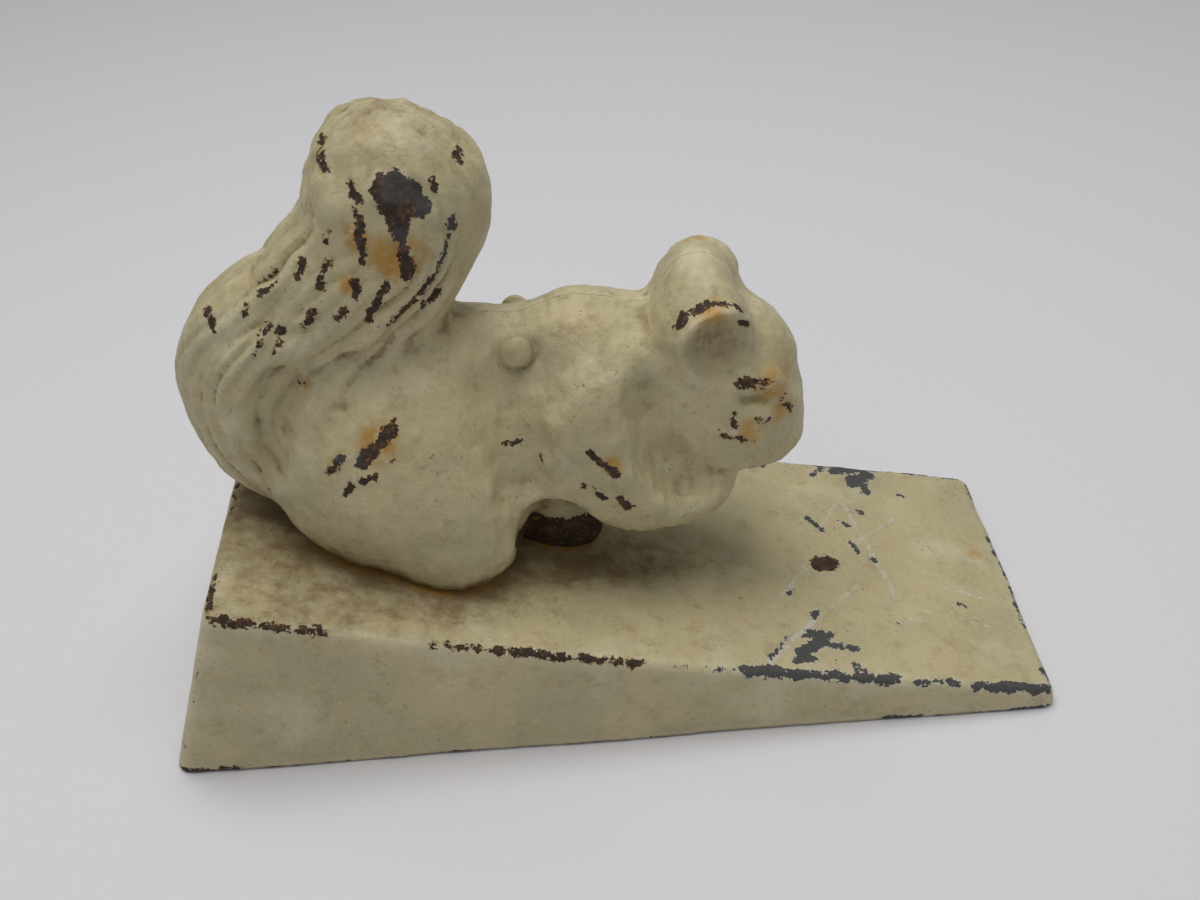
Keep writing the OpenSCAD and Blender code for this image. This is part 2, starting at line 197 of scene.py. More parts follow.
def ellipsoid(p, centre, half, tilt):
    """Distance to an ellipsoid, near enough close to its surface"""
    turn = math.radians(tilt)
    dx, dz = p[0] - centre[0], p[2] - centre[2]
    a = (dx * math.cos(turn) + dz * math.sin(turn)) / half[0]
    b = (p[1] - centre[1]) / half[1]
    c = (dz * math.cos(turn) - dx * math.sin(turn)) / half[2]
    n = np.sqrt(a * a + b * b + c * c)
    m = np.sqrt((a / half[0]) ** 2 + (b / half[1]) ** 2 + (c / half[2]) ** 2)
    return n * (n - 1) / np.maximum(m, 1e-4)


def blended(a, b, soft):
    """The lesser of two distances, with a soft valley where they cross"""
    h = np.maximum(soft - np.abs(a - b), 0)
    return np.minimum(a, b) - h * h / np.maximum(4 * soft, 1e-6)


def union(p, forms):
    """Distance to a set of forms blended one after another"""
    total = None
    for centre, half, tilt, soft in forms.values():
        d = ellipsoid(p, centre, half, tilt)
        total = d if total is None else blended(total, d, soft)
    return total


def stretch(p, start, end, radius):
    """Distance to a rod with round ends"""
    way = np.subtract(end, start)
    off = [p[a] - start[a] for a in range(3)]
    t = np.clip(sum(off[a] * way[a] for a in range(3)) / (way @ way), 0, 1)
    return np.sqrt(sum((off[a] - t * way[a]) ** 2 for a in range(3))) - radius


def with_ear(p, d):
    """The form with the rim and the dish of the ear"""
    centre, way, radius, rim, depth = EAR
    way = np.array(way) / np.linalg.norm(way)
    out = sum((p[a] - centre[a]) * way[a] for a in range(3))
    away = np.sqrt(np.maximum(sum((p[a] - centre[a]) ** 2 for a in range(3)) - out * out, 0))
    # The rim is thickest at its top and fades out at its bottom
    upper = np.clip((p[2] - centre[2]) / radius, -1, 1)
    d = blended(d, np.hypot(away - radius, out) - rim * (0.3 + 0.7 * upper), 3)
    reach = ((radius - 0.8) ** 2 - depth ** 2) / (2 * depth)
    dish = np.hypot(away, out - reach) - reach - depth
    return -blended(-d, dish, 1.2)


def outer_form(p):
    """Distance to the smooth outer form, and how far a point belongs to the tail, 0 to 1.
    Points are given as (forward, out, up), the same for both sides."""
    body = union(p, BODY_FORMS)
    tail = union(p, TAIL_FORMS)
    d = blended(body, tail, 6)
    for start, end, radius, soft in FURROWS.values():
        d = -blended(-d, stretch(p, start, end, radius), soft)
    for centre, half, tilt, soft in HOLLOWS.values():
        d = -blended(-d, ellipsoid(p, centre, half, tilt), soft)
    for start, end, radius, soft in RIDGES.values():
        d = blended(d, stretch(p, start, end, radius), soft)
    return with_ear(p, d), np.clip(0.5 + (body - tail) / 8, 0, 1)


# ---- Locks of fur, pits and waves pressed into the form ----

# Middle line of the tail from root to crest, seen from the side
TAIL_LINE = ((-27, 18), (-35, 34), (-33, 48), (-22, 60), (-10, 70), (-2, 82), (-3, 98), (-4, 108))
# The radius that turns an angle round the tail into millimetres, and how far places along its line blend
TAIL_GIRTH, TAIL_BLEND = 17, 6


def smooth_path(points, steps):
    """Points along a Catmull-Rom curve"""
    line = np.array([points[0], *points, points[-1]], float)
    path = []
    for a, b, c, d in zip(line, line[1:], line[2:], line[3:]):
        for t in np.arange(steps) / steps:
            path.append(0.5 * (2 * b + (c - a) * t + (2 * a - 5 * b + 4 * c - d) * t * t
                               + (3 * b - a - 3 * c + d) * t ** 3))
    return np.array(path)


def tail_flow(p):
    """How far a point is round the tail and along it, in millimetres"""
    path = smooth_path(TAIL_LINE, 8)
    along = np.concatenate([[0], np.cumsum(np.linalg.norm(np.diff(path, axis=0), axis=1))])
    way = np.gradient(path, axis=0)
    way /= np.linalg.norm(way, axis=1)[:, None]
    total, reach, side = np.zeros((3, len(p)))
    for place, ahead, distance in zip(path, way, along):
        dx, dz = p[:, 0] - place[0], p[:, 2] - place[1]
        weight = np.exp(-(dx * dx + dz * dz) / (2 * TAIL_BLEND ** 2))
        total += weight
        reach += weight * distance
        side += weight * (dx * ahead[1] - dz * ahead[0])
    return np.arctan2(np.abs(p[:, 1]), side / total) * TAIL_GIRTH, reach / total


def valleys(field, width):
    """Rounded furrows where a field passes zero, from 0 beside them to 1 at the bottom"""
    return np.maximum(1 - np.abs(field) / width, 0) ** 1.5


def fur(p, tail_share):
    """How deep the locks of the tail are pressed in"""
    round_tail, along = tail_flow(p)
    warp = 2.5 * soft_noise(p, 16, 11)
    round_tail = round_tail + warp
    blank = np.zeros_like(along)
    locks = lattice_noise(np.stack([round_tail / 4.6, along / 34, blank], -1), 21)
    hairs = lattice_noise(np.stack([round_tail / 2.3, along / 20, blank + 3], -1), 22)
    top = smooth_step(along, 70, 95)
    tufts = soft_noise(p * (1, 1, 0.7), 5.5, 23)
    depth = (1.4 * valleys(locks, 0.5) + 0.6 * valleys(hairs, 0.5)) * (1 - 0.6 * top)
    return tail_share * (depth + (0.35 + 0.75 * top) * tufts - 0.4)


def casting_skin(p, tail_share):
    """Everything finer than the forms, for points near the surface"""
    wave = 0.45 * soft_noise(p, 11, 31, 3) + 0.22 * soft_noise(p, 3.6, 35)
    brush = 0.20 * lattice_noise(p * (0.9, 0.5, 0.12), 34)
    return fur(p, tail_share) + (1 - 0.6 * tail_share) * (wave + brush)


# ---- The half castings ----

def across(p, place):
    """Distance from a cross axis, given forward and up"""
    return np.hypot(p[..., 0] - place[0], p[..., 2] - place[1])


def half_casting(p, side):
    """Distance to one half casting at points on its own side, in the squirrel's frame"""
    outward = (p[..., 0], np.abs(p[..., 1]), p[..., 2])
    outer, tail_share = outer_form(outward)
    cored = np.maximum(union(outward, {**BODY_FORMS, **TAIL_FORMS}) + SHELL, outer + THINNEST)
    near = np.abs(outer) < 3
    signed = p[near] * (1, side, 1)
    outer[near] += casting_skin(signed, tail_share[near])
    above = p[..., 2] * math.cos(REAR_SLOPE) + p[..., 0] * math.sin(REAR_SLOPE)
    ahead = p[..., 0] * math.cos(REAR_SLOPE) - p[..., 2] * math.sin(REAR_SLOPE)
    from_screw = np.hypot(ahead, p[..., 1] - SCREW_OFFSET)
    boss = np.maximum(from_screw - BOSS_RADIUS, above - SCREW_GRIP - SHELL)
    rivet = across(p, (RIVET_FORWARD, RIVET_UP))
    pegs = np.minimum(*[across(p, place) for place in PEG_PLACES])
    shell = blended(-cored, above - SHELL, BOSS_FILLET)
    shell = blended(shell, boss, BOSS_FILLET)
    shell = blended(shell, np.minimum(rivet, pegs) - CROSS_BOSS_RADIUS, BOSS_FILLET)
    metal = np.maximum(outer, shell)
    metal = np.maximum(metal, -above)
    metal = both(metal, -np.maximum(rivet - RIVET_SEAT_RADIUS, RIVET_SEAT - p[..., 1]), 1.5)
    metal = np.maximum(metal, PEG_RADIUS + 0.1 - rivet)
    metal = np.maximum(metal, -np.maximum(from_screw - SCREW_HOLE_RADIUS, above - SCREW_GRIP))
    metal = np.maximum(metal, -p[..., 1])
    if side < 0:
        return np.minimum(metal, np.maximum(pegs - PEG_RADIUS, np.abs(p[..., 1]) - PEG_LENGTH))
    socket = np.maximum(pegs - PEG_RADIUS - PEG_CLEARANCE, p[..., 1] - PEG_LENGTH - PEG_CLEARANCE)
    return np.maximum(metal, -socket)


# ---- The wedge ----

def rear_flat(x):
    """Height of the rear flat, which the squirrel sits on"""
    return MID_HEIGHT + REAR_RISE * (x - MID_X)


def front_flat(x):
    """Height of the front flat, which goes under the door"""
    return MID_HEIGHT + FRONT_RISE * (x - MID_X)


def both(a, b, soft):
    """The greater of two distances, with a rounded edge where they cross"""
    return -blended(-a, -b, soft)


def wedge_faces(p):
    """Distances to the planes of the wedge: top, sides, rear and tip"""
    x, y, z = p[..., 0], np.abs(p[..., 1]), p[..., 2]
    top = blended((z - rear_flat(x)) * math.cos(REAR_SLOPE),
                  (z - front_flat(x)) * math.cos(math.atan(FRONT_RISE)), 3)
    taper = (REAR_HALF_WIDTH - TIP_HALF_WIDTH) / (TIP_X - REAR_X)
    sides = y - REAR_HALF_WIDTH + taper * (x - REAR_X)
    lean = math.atan(REAR_LEAN / REAR_HEIGHT)
    rear = (REAR_X - x) * math.cos(lean) + z * math.sin(lean)
    tip = x - TIP_X + TIP_LEAN * z / TIP_HEIGHT
    return top, sides, rear, tip


def wedge_casting(p):
    """Distance to the hollow wedge"""
    top, sides, rear, tip = wedge_faces(p)
    wave = 0.22 * soft_noise(p, 26, 41) + 0.08 * soft_noise(p, 5, 43)
    plan = both(both(sides, rear, 4), tip, 3)
    outer = both(both(plan, top, 2.4 + 1.0 * soft_noise(p, 9, 45)) + wave, -p[..., 2], 0.6)
    end = TIP_X - HOLLOW_SHORT_OF_TIP
    hollow = both(both(sides + WALL, rear + WALL, 8), p[..., 0] - end, 8)
    hollow = both(hollow, top + PLATE, 7) + 0.5 * wave
    place = p - SEAT
    ahead = place[..., 0] * math.cos(REAR_SLOPE) - place[..., 2] * math.sin(REAR_SLOPE)
    cores = np.hypot(ahead, np.abs(p[..., 1]) - SCREW_OFFSET) - CORED_HOLE_RADIUS
    return both(both(outer, -hollow, 1.2), -cores, 0.8)


# ---- From a distance field to a mesh ----

def pinched_cases():
    """Which of a cell's 256 patterns of inside corners would pinch the surface"""
    corners = [(i, j, k) for i in (0, 1) for j in (0, 1) for k in (0, 1)]
    pairs = [(a, b) for a in range(8) for b in range(a)
             if sum(abs(u - v) for u, v in zip(corners[a], corners[b])) == 1]
    squares = [[c for c in range(8) if corners[c][axis] == end] for axis in range(3) for end in (0, 1)]
    cases = np.zeros(256, bool)
    for case in range(1, 255):
        for kind in (0, 1):
            chosen = {c for c in range(8) if (case >> c & 1) == kind}
            links = sum(a in chosen and b in chosen for a, b in pairs)
            sheets = sum(chosen.issuperset(square) for square in squares)
            cases[case] |= len(chosen) - links + sheets != 1
    return cases


def without_pinches(values):
    """The same grid, with metal added at single corners until no cell pinches the surface"""
    cases = pinched_cases()
    corners = [(i, j, k) for i in (0, 1) for j in (0, 1) for k in (0, 1)]
    shape = [n - 1 for n in values.shape]
    while True:
        inside = values < 0
        case = np.zeros(shape, np.int32)
        for bit, (i, j, k) in enumerate(corners):
            case += inside[i:i + shape[0], j:j + shape[1], k:k + shape[2]].astype(np.int32) << bit
        bad = np.argwhere(cases[case])
        if len(bad) == 0:
            return values
        around = bad[:, None, :] + np.array(corners)
        found = values[around[..., 0], around[..., 1], around[..., 2]]
        best = np.argmin(np.where(found < 0, np.inf, found), axis=1)
        i, j, k = around[np.arange(len(bad)), best].T
        values[i, j, k] = -1e-3


def surface_net(values, origin, step):
    """A quad skin round the negative values, with one point in each cell that it crosses"""
    values = without_pinches(values)
    inside = values < 0
    shape = [n - 1 for n in values.shape]
    count = np.zeros(shape, np.int8)
    for i in (0, 1):
        for j in (0, 1):
            for k in (0, 1):
                count += inside[i:i + shape[0], j:j + shape[1], k:k + shape[2]]
    cells = np.argwhere((count > 0) & (count < 8))
    number = np.full(shape, -1, np.int64)
    number[tuple(cells.T)] = np.arange(len(cells))
    total = np.zeros((len(cells), 3))
    hits = np.zeros(len(cells))
    faces = []
    for axis in range(3):
        second, third = (axis + 1) % 3, (axis + 2) % 3
        for a in (0, 1):
            for b in (0, 1):
                start = np.zeros(3, int)
                start[second], start[third] = a, b
                low = cells + start
                high = low.copy()
                high[:, axis] += 1
                v, w = values[tuple(low.T)], values[tuple(high.T)]
                cut = (v < 0) != (w < 0)
                place = np.tile(start.astype(float), (cut.sum(), 1))
                place[:, axis] += v[cut] / (v[cut] - w[cut])
                total[cut] += place
                hits[cut] += 1
        low, high = [slice(None)] * 3, [slice(None)] * 3
        low[axis], high[axis] = slice(None, -1), slice(1, None)
        edges = np.argwhere(inside[tuple(low)] != inside[tuple(high)])
        ring = []
        for a, b in ((-1, -1), (0, -1), (0, 0), (-1, 0)):
            cell = edges.copy()
            cell[:, second] += a
            cell[:, third] += b
            ring.append(number[tuple(cell.T)])
        ring = np.stack(ring, axis=1)
        back = ~inside[tuple(edges.T)]
        ring[back] = ring[back][:, ::-1]
        faces.append(ring)
    points = origin + step * (cells + total / hits[:, None])
    return points, np.concatenate(faces)


def sampled(field, low, high, step):
    """A field's values over a grid of points, and the grid's first corner"""
    sides = [np.arange(low[a], high[a] + step, step) for a in range(3)]
    slabs = []
    for chunk in np.array_split(sides[0], 6):
        points = np.stack(np.meshgrid(chunk, sides[1], sides[2], indexing="ij"), -1)
        slabs.append(field(points))
    return np.concatenate(slabs).astype(np.float64), np.array([side[0] for side in sides])


def casting_object(name, points, faces, marks):
    """A mesh object from points in millimetres, with one value a point for each kind of mark"""
    mesh = bpy.data.meshes.new(name)
    mesh.from_pydata((points * MM).tolist(), [], faces.tolist())
    mesh.polygons.foreach_set("use_smooth", np.ones(len(faces), bool))
    for kind, values in marks.items():
        layer = mesh.attributes.new(kind, "FLOAT", "POINT")
        layer.data.foreach_set("value", values.astype(np.float32))
    mesh.update()
    piece = bpy.data.objects.new(name, mesh)
    bpy.context.scene.collection.objects.link(piece)
    return piece


# Rounds of averaging that give the surroundings' level, and that calm the height above it
LEVEL_PASSES, HEIGHT_PASSES = 14, 2


def smoothed(values, pairs, count, passes):
    """Values averaged over each point's neighbours, again and again"""
    degree = np.bincount(pairs.ravel(), minlength=count).astype(float)
    for _ in range(passes):
        total = np.zeros_like(values)
        for axis in range(values.shape[1]):
            total[:, axis] = (np.bincount(pairs[:, 0], values[pairs[:, 1], axis], count)
                              + np.bincount(pairs[:, 1], values[pairs[:, 0], axis], count))
        values = (values + total / degree[:, None]) / 2
    return values


def relief(points, faces):
    """How far each point stands above its surroundings, or lies below them, and the normals"""
    pairs = np.concatenate([faces[:, [0, 1]], faces[:, [2, 3]]])
    normals = np.zeros_like(points)
    first, second = points[faces[:, 2]] - points[faces[:, 0]], points[faces[:, 3]] - points[faces[:, 1]]
    across_face = np.cross(first, second)
    for axis in range(3):
        for corner in range(4):
            normals[:, axis] += np.bincount(faces[:, corner], across_face[:, axis], len(points))
    normals /= np.linalg.norm(normals, axis=1)[:, None] + 1e-12
    level = smoothed(points, pairs, len(points), LEVEL_PASSES)
    height = np.sum((points - level) * normals, axis=1)
    return smoothed(height[:, None], pairs, len(points), HEIGHT_PASSES)[:, 0], normals


# ---- Where the paint has gone, in millimetres ----

# Chips seen from the side, on the right half: both ends as (x, z), and half the width
SIDE_CHIPS = (
    ((-39, 126.5), (-36.5, 120), 2.3), ((-36, 127), (-32.5, 122.5), 2.4), ((-37, 120), (-36.5, 116.5), 1.6),
    ((-36.5, 114.5), (-36, 108.5), 1.5), ((-45, 126.5), (-43.5, 124.5), 0.9), ((-44, 122), (-44.5, 112), 0.9),
    ((-46.5, 108), (-46.5, 105), 0.7), ((-27.5, 118), (-28, 114), 0.5), ((-28, 114), (-31, 107), 0.6),
    ((-31, 107), (-34.5, 104), 0.9), ((-35.5, 102.5), (-41, 97.5), 0.7), ((-31.5, 102), (-35, 99), 0.7),
    ((-40.5, 107.5), (-45, 99.5), 0.7), ((-49, 102.5), (-51, 101), 0.7),
    ((-50.5, 117.5), (-51.5, 115.5), 0.7), ((-51.5, 111.5), (-53.5, 106.5), 0.8),
    ((-56.5, 110.5), (-58, 108), 0.7), ((-62.5, 107.5), (-66, 104), 0.7),
    ((-69.5, 101.5), (-70, 100), 0.7), ((-78.5, 98.5), (-77, 95.5), 0.9), ((-55.5, 102), (-57.5, 99), 0.7),
    ((-65, 99), (-68.5, 93), 0.6), ((-62.5, 98), (-64.5, 93), 0.7), ((-50.5, 132), (-50, 129.5), 1.0),
    ((-29.5, 127), (-29.5, 125), 0.7), ((-25, 129), (-24.5, 128), 0.8), ((-27, 118.5), (-27, 117), 1.0),
    ((-61.5, 84), (-60, 85), 0.4), ((-50.5, 87.5), (-49.5, 87.5), 0.3),
    ((-43, 76.5), (-50, 70), 1.3), ((-54, 71), (-56.5, 68.5), 1.1), ((-47.5, 67.5), (-50, 67), 0.9),
    ((-52.5, 65.5), (-54, 64), 0.8), ((-44, 70.5), (-43, 71), 0.3), ((-20.5, 67), (-17.5, 66.5), 0.5),
    ((-13.5, 64), (-13, 63), 0.4), ((-3, 67), (-1, 64.5), 0.9), ((-1, 64.5), (2, 62), 1.0),
    ((-4.5, 58.5), (-4.5, 58), 0.5), ((-2.5, 57), (0, 55), 0.7), ((3, 55), (4.5, 53), 1.1),
)
# Chips on the worn rims of the ear, brow and eye, and one on the left ear: both ends as (x, y, z),
# and half the width
FACE_CHIPS = (
    ((16, -14, 93), (18, -14, 96), 1.4), ((18, -14, 96), (24, -13.5, 97.5), 1.3),
    ((24, -13.5, 97.5), (28.5, -13, 95), 1.1), ((28.5, -13, 95), (29.5, -13, 91.5), 0.8),
    ((29.5, -14, 78), (35, -12.5, 76.5), 1.4), ((35, -12.5, 76.5), (40, -11, 69), 0.9),
    ((32, -15, 69.5), (34.5, -14.5, 69), 0.9), ((27.5, -16, 71.5), (27.5, -16.5, 68), 0.6),
    ((24.5, -16.5, 68), (26, -17, 66.5), 0.5), ((26, -17, 67), (31.5, -16.5, 65), 0.7),
    ((21, 9.5, 100.5), (22.5, 7, 101.5), 0.6),
)
# Rust stains seen from the side: place, radius and strength
RUST_STAINS = (
    ((-38, 113), 5.5, 1.0), ((-45, 117), 3.2, 0.9), ((-42, 116), 3.5, 0.5), ((-33.5, 113), 3.0, 0.6),
    ((-48, 107.5), 2.2, 0.8), ((-46, 74), 4.5, 0.9), ((-60, 84.5), 1.8, 0.7), ((-55, 71), 2.5, 0.5),
    ((1.5, 64), 2.6, 0.8), ((23, 95), 3.0, 0.8), ((36, 76), 4.5, 0.75), ((38, 70), 3.5, 0.6),
    ((31, 67), 3.5, 0.7), ((-67, 97), 2.5, 0.3), ((-37, 105), 3.0, 0.3), ((3, 54), 1.8, 0.4),
)
# Chips on the wedge's top: both ends as (x, y), and half the width
TOP_CHIPS = (
    ((44, -27), (49, -26.5), 1.5), ((41.5, -33), (47, -28.5), 1.9), ((48, -29), (54.5, -30.5), 1.0),
    ((40, -36), (44, -34), 1.2), ((53, -35), (55, -37), 1.0), ((51.5, -2), (54, -1.5), 2.6),
    ((51.5, 15), (54.5, 11), 0.8), ((65, 20.5), (66, 20), 0.9), ((59, 15.5), (61.5, 14), 0.6),
    ((61, 7), (62, 3.5), 0.6), ((64.5, 1.5), (65.5, 0.5), 0.8), ((78, 28), (79, 27), 0.6),
    ((42, -13.5), (43, -12.5), 0.8), ((46, -21), (47.5, -19), 0.8), ((83, -12.5), (84.5, -13), 0.4),
    ((36, -33), (39.5, -28), 0.4), ((33, -38), (35.5, -33.5), 0.5), ((66, 32), (71, 36), 2.0),
    ((69, 28), (69, 34), 1.3), ((62, 36), (70, 38), 1.5), ((60, -10), (60.5, -10), 0.4),
    ((67, -21), (67.5, -21), 0.5), ((38, 35), (43, 36.5), 1.1), ((56, 34), (60, 38), 0.8),
)
# Worn stretches of the wedge's edges: from, to, and half the width
EDGE_CHIPS = {
    "near": ((-88, -61, 1.5), (-38, -18, 1.4), (-18, 6, 1.2), (13, 30, 0.7), (29, 36, 2.0), (37, 50, 1.7),
             (48, 63, 1.9), (67, 76, 1.3), (81, 99, 1.9)),
    "far": ((-70, -52, 1.2), (-20, -8, 1.0), (29, 62, 1.4), (58, 74, 1.8), (76, 90, 1.3), (93, 98, 1.4)),
    "near foot": ((-99, -86, 1.7), (-40, -34, 0.9), (61, 68, 1.6), (-99, 99, 0.35), (90, 99, 1.2)),
    "far foot": ((-96, -80, 1.3), (10, 22, 1.1), (-99, 99, 0.35)),
    "tip": ((14, -1, 1.1), (-5, -18, 1.3), (-33, -38, 1.5), (28, 36, 0.9)),
    "rear": ((-40, -28, 1.6), (-8, 6, 1.0), (30, 40, 1.2)),
    "rear foot": ((-40, -20, 1.2), (12, 30, 1.0), (-40, 40, 0.35)),
    "near corner": ((0, 46, 1.1),),
    "far corner": ((4, 20, 0.9),),
}
# Pale rubs left by things that scraped over the wedge's top: both ends as (x, y), and half the width
TOP_RUBS = (
    ((32, -39), (48, -20), 0.7), ((48, -20), (59, -9), 0.4), ((39, -16), (48, -3), 0.5),
    ((70, 4), (86, -8), 0.3), ((74, 10), (93, 3), 0.3), ((62, 22), (68, -12), 0.6),
    ((54, 12), (62, 26), 0.5), ((60, -12), (90, -20), 0.3),
    ((72, -4), (96, -12), 0.3), ((60, 5), (74, 18), 0.3),
)
# Where painted shade darkens the ear's dish, and where dirt and painted shade darken the wedge below the arms
EAR_MIDDLE = np.array(EAR[0]) + SEAT
UNDER_ARM = ((-11, -11), (14, -3))
# Where a small rust spot is on the wedge's top
RUST_SPOT = (92.5, 6.5)
# The one large chip on the wedge's top that is brown, not grey
BROWN_CHIP = (52.5, -2)
# Where the lug under the belly is, along the wedge
LUG_X = -13
# How many millimetres a chip's field takes to change by one
BLUR = 4.0
# Chips scattered over the left half: seed and number
LEFT_CHIPS = (61, 46)


def line_distance(points, start, end):
    """Distance from points to a straight stretch"""
    start, end = np.array(start, float), np.array(end, float)
    way = end - start
    t = np.clip((points - start) @ way / max(way @ way, 1e-9), 0, 1)
    return np.linalg.norm(points - start - t[:, None] * way, axis=1)


def chip_field(points, chips):
    """Over a half inside the chips, under a half outside, changing by one over BLUR millimetres"""
    nearest = np.full(len(points), BLUR)
    for start, end, radius in chips:
        nearest = np.minimum(nearest, line_distance(points, start, end) - radius)
    return 0.5 - nearest / BLUR


def scattered_chips(seed, count):
    """Chips for the side that the right half's list doesn't cover: along the tail, then on the body"""
    random = np.random.default_rng(seed)
    path = smooth_path(TAIL_LINE, 8) + (SEAT[0], SEAT[2])
    chips = []
    for _ in range(count):
        middle = path[random.integers(10, len(path) - 4)] + random.uniform(-11, 11, 2)
        if random.random() < 0.25:
            middle = np.array([random.uniform(-58, 25), random.uniform(50, 82)])
        lean, reach = math.radians(random.uniform(45, 85)), random.uniform(0.6, 3.5)
        half = reach * np.array([math.cos(lean), math.sin(lean)])
        chips.append((middle - half, middle + half, random.uniform(0.35, 1.1)))
    return chips


def half_marks(points, faces, side):
    """The marks on a half casting, for points in the wedge's frame"""
    height, normals = relief(points, faces)
    seen = points[:, [0, 2]]
    chips = SIDE_CHIPS if side < 0 else scattered_chips(*LEFT_CHIPS)
    chip = chip_field(seen, chips)
    facing = smooth_step(np.abs(normals[:, 1]), 0.05, 0.3)
    chip = np.maximum(chip * facing, chip_field(points, FACE_CHIPS))
    stain = np.zeros(len(points))
    for place, radius, strength in (RUST_STAINS if side < 0 else RUST_STAINS[5::2]):
        far = np.linalg.norm(seen - place, axis=1)
        stain = np.maximum(stain, strength * smooth_step(far, 1.6 * radius, 0.3 * radius))
    above = (points[:, 2] - rear_flat(points[:, 0])) * math.cos(REAR_SLOPE)
    foot = smooth_step(above, 9, 0)
    bare = smooth_step(above, 1.2, 0.2)
    # Painted shade: surfaces that face down near the wedge, under the belly, arms and haunches, are darkened
    under = smooth_step(-normals[:, 2], 0.1, 0.8) * smooth_step(above, 26, 14)
    on_lug = smooth_step(np.hypot(points[:, 0] - LUG_X, points[:, 1] * 0.7), 16, 11) * smooth_step(above, 13, 9)
    chip = np.maximum(chip, 0.75 * bare)
    dusty = smooth_step(normals[:, 2], 0.3, 0.9) * smooth_step(points[:, 0], 15, 0)
    dusty = dusty * (0.2 + 0.3 * smooth_step(points[:, 2], 105, 128))
    # Painted shade: the ear's dish is darkened towards its middle
    in_ear = smooth_step(np.linalg.norm(points - EAR_MIDDLE * (1, side, 1), axis=1), 8, 4)
    return {
        "chip": np.maximum(chip, 0.9 * on_lug),
        "stain": stain,
        # Darkening from dirt at the feet, painted shade underneath and in the ear, dust on the tops, and the
        # dark lug
        "grime_and_shade": np.clip(0.75 * foot + 0.6 * under + 0.4 * in_ear + dusty + on_lug, 0, 1),
        "relief": height,
        "grey": smooth_step(soft_noise(points, 9, 71), 0.45, 0.7) * (1 - on_lug) * 0.6,
    }


def edge_line(edge, t):
    """A place on one of the wedge's edges"""
    share = (t - REAR_X) / (TIP_X - REAR_X)
    half_width = REAR_HALF_WIDTH + (TIP_HALF_WIDTH - REAR_HALF_WIDTH) * share
    top = max(rear_flat(t), front_flat(t))
    lean = REAR_LEAN * t / REAR_HEIGHT
    return {
        "near": (t, -half_width, top),
        "far": (t, half_width, top),
        "near foot": (t, -half_width, 0),
        "far foot": (t, half_width, 0),
        "tip": (TIP_X - TIP_LEAN, t, TIP_HEIGHT),
        "rear": (REAR_X + REAR_LEAN, t, REAR_HEIGHT),
        "rear foot": (REAR_X, t, 0),
        "near corner": (REAR_X + lean, -REAR_HALF_WIDTH, t),
        "far corner": (REAR_X + lean, REAR_HALF_WIDTH, t),
    }[edge]


def wedge_marks(points, faces):
    """The marks on the wedge"""
    height, normals = relief(points, faces)
    chips = [(edge_line(edge, a), edge_line(edge, b), radius)
             for edge, stretches in EDGE_CHIPS.items() for a, b, radius in stretches]
    on_top = smooth_step(normals[:, 2], 0.5, 0.9)
    chip = np.maximum(chip_field(points, chips), chip_field(points[:, :2], TOP_CHIPS) * on_top)
    rub = chip_field(points[:, :2], TOP_RUBS) * on_top
    p = points - SEAT
    from_squirrel, _ = outer_form((p[:, 0], np.abs(p[:, 1]), p[:, 2]))
    # Darker near the squirrel: dirt and painted contact shade, and below the arms a patch of dirt and painted
    # shadow
    dirt_and_shade = 0.85 * np.exp(-np.maximum(from_squirrel, 0) / 8)
    from_under_arm = line_distance(points[:, :2], *UNDER_ARM)
    dirt_and_shade = dirt_and_shade + 0.8 * smooth_step(from_under_arm, 13, 3)
    rear = smooth_step(points[:, 0], 0, -60) * 0.5
    spread = smooth_step(points[:, 0], 48, 0)
    # Painted shade: surfaces of the wedge that face down, mostly inside the hollow, are darkened
    inside = smooth_step(-normals[:, 2], 0.2, 0.7)
    front = smooth_step(points[:, 0], 5, 30)
    return {
        "chip": chip,
        "rub": rub,
        "stain": on_top * np.exp(-np.maximum(from_squirrel - 0.6, 0) / 1.2) * 0.8
                 + 0.6 * smooth_step(np.linalg.norm(points[:, :2] - RUST_SPOT, axis=1), 3, 1) * on_top,
        "grime_and_shade": np.clip((dirt_and_shade + rear) * spread * on_top + 0.8 * inside, 0, 1),
        "relief": height,
        "grey": front * smooth_step(np.hypot(*(points[:, :2] - BROWN_CHIP).T), 3.5, 5),
    }


# ---- Materials ----

